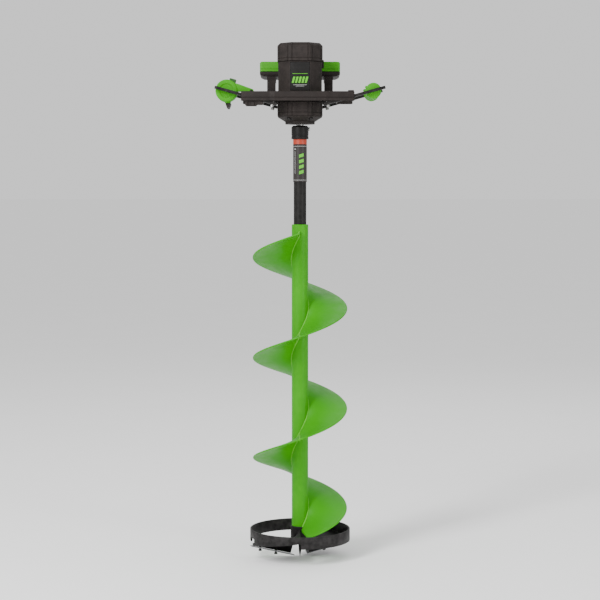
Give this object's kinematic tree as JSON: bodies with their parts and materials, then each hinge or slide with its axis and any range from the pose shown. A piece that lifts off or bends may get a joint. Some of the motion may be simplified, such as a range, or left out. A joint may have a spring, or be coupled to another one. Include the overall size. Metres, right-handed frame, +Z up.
{
  "type": "ice fishing auger",
  "caption": "Battery ice auger: powerhead with two side grips and a rear battery over a screw of right-hand flighting with a cutter ring, blades and centre point.",
  "frame": {"origin": "tip of the centre point, on the drill axis", "axes": "+Z up the drill axis, -Y towards the front with the label panel, +X to the plain grip"},
  "size_m": [0.3378, 0.2615, 1.036],
  "materials": {
    "green_paint": "semi-gloss powder coat",
    "green_plastic": "satin moulded plastic",
    "black_plastic": "fine grained moulded plastic",
    "black_steel": "matt black coated steel",
    "blade_steel": "ground",
    "bare_steel": "zinc plated",
    "copper_winding": "varnished winding",
    "orange_band": "printed film",
    "label": "printed film",
    "board_green": "solder mask",
    "cell_wrap": "shrink wrap"
  },
  "bodies": {
    "powerhead": {"gearcase": "black_plastic", "gearcase_bolt_left": "black_steel", "gearcase_bolt_right": "black_steel", "lower_housing": "black_plastic", "motor_housing": "black_plastic", "top_cap": "black_plastic", "label_panel": "label", "handle_frame": "black_plastic", "handle_plate_left": "black_steel", "handle_plate_right": "black_steel", "plate_bolt_left_front": "bare_steel", "plate_bolt_left_rear": "bare_steel", "plate_bolt_right_front": "bare_steel", "plate_bolt_right_rear": "bare_steel", "grip_left": "green_plastic", "grip_right": "green_plastic", "throttle_pod": "green_plastic", "trigger_pin": "bare_steel", "switch_box": "black_plastic", "battery_dock": "black_plastic", "ring_gear": "bare_steel", "stator": "copper_winding", "motor_plate": "bare_steel", "controller_board": "board_green", "motor_bearing_lower": "bare_steel", "motor_bearing_upper": "bare_steel", "output_bearing": "bare_steel"},
    "drill": {"output_carrier": "bare_steel", "coupler_collar": "black_steel", "extension_shaft": "black_steel", "shaft_bolt": "bare_steel", "label_sleeve": "label", "orange_band": "orange_band", "auger_tube": "green_paint", "flight_section_1": "green_paint", "flight_section_2": "green_paint", "flight_section_3": "green_paint", "cutter_hub": "black_steel", "cutter_ring": "black_steel", "blade_holder_1": "black_steel", "blade_holder_2": "black_steel", "blade_1": "blade_steel", "blade_2": "blade_steel", "blade_screw_1_1": "black_steel", "blade_screw_1_2": "black_steel", "blade_screw_2_1": "black_steel", "blade_screw_2_2": "black_steel", "centre_point": "black_steel"},
    "rotor": {"rotor": "bare_steel"},
    "planet_1": {"planet_gear_1": "bare_steel"},
    "planet_2": {"planet_gear_2": "bare_steel"},
    "planet_3": {"planet_gear_3": "bare_steel"},
    "coupler_pin": {"coupler_pin": "bare_steel"},
    "trigger": {"throttle_trigger": "black_plastic"},
    "lock_button": {"lock_button": "green_plastic"},
    "direction_switch": {"direction_switch": "black_plastic"},
    "battery": {"battery_lower": "black_plastic", "battery_upper": "green_plastic", "cell_pack": "cell_wrap"},
    "latch": {"battery_latch": "black_plastic"}
  },
  "joints": [
    {"name": "drill_spin", "type": "hinge", "parent": "powerhead", "child": "drill", "pos_m": [0, 0, 0.884], "axis": [0, 0, 1], "continuous": true},
    {"name": "rotor_spin", "type": "hinge", "parent": "powerhead", "child": "rotor", "pos_m": [0, 0, 0.96], "axis": [0, 0, 1], "continuous": true},
    {"name": "planet_1_spin", "type": "hinge", "parent": "drill", "child": "planet_1", "pos_m": [0, 0.01875, 0.9025], "axis": [0, 0, 1], "continuous": true},
    {"name": "planet_2_spin", "type": "hinge", "parent": "drill", "child": "planet_2", "pos_m": [-0.01624, -0.00937, 0.9025], "axis": [0, 0, 1], "continuous": true},
    {"name": "planet_3_spin", "type": "hinge", "parent": "drill", "child": "planet_3", "pos_m": [0.01624, -0.00937, 0.9025], "axis": [0, 0, 1], "continuous": true},
    {"name": "coupler_pin_slide", "type": "slide", "parent": "drill", "child": "coupler_pin", "axis": [1, 0, 0], "range_m": [0, 0.045]},
    {"name": "throttle_squeeze", "type": "hinge", "parent": "powerhead", "child": "trigger", "pos_m": [-0.143, -0.038, 0.922], "axis": [1, 0, 0], "range_deg": [0, 6.5], "stiffness_Nm_per_rad": 0.4, "springref_deg": -8.59},
    {"name": "lock_press", "type": "slide", "parent": "powerhead", "child": "lock_button", "axis": [-0.2672, 0, -0.9636], "range_m": [0, 0.003], "stiffness_N_per_m": 250, "springref_m": -0.002},
    {"name": "direction_rock", "type": "hinge", "parent": "powerhead", "child": "direction_switch", "pos_m": [-0.096, -0.0612, 0.9135], "axis": [0, 0, 1], "range_deg": [-8, 8]},
    {"name": "battery_slide", "type": "slide", "parent": "powerhead", "child": "battery", "axis": [0, 1, 0], "range_m": [0, 0.12]},
    {"name": "latch_swing", "type": "hinge", "parent": "battery", "child": "latch", "pos_m": [0.04425, 0.051, 0.9945], "axis": [-1, 0, 0], "range_deg": [0, 12], "stiffness_Nm_per_rad": 0.02, "springref_deg": -11.46}
  ],
  "couplings": [
    {"joint": "rotor_spin", "follows": "drill_spin", "ratio": 5},
    {"joint": "planet_1_spin", "follows": "drill_spin", "ratio": -2.6667},
    {"joint": "planet_2_spin", "follows": "drill_spin", "ratio": -2.6667},
    {"joint": "planet_3_spin", "follows": "drill_spin", "ratio": -2.6667}
  ]
}
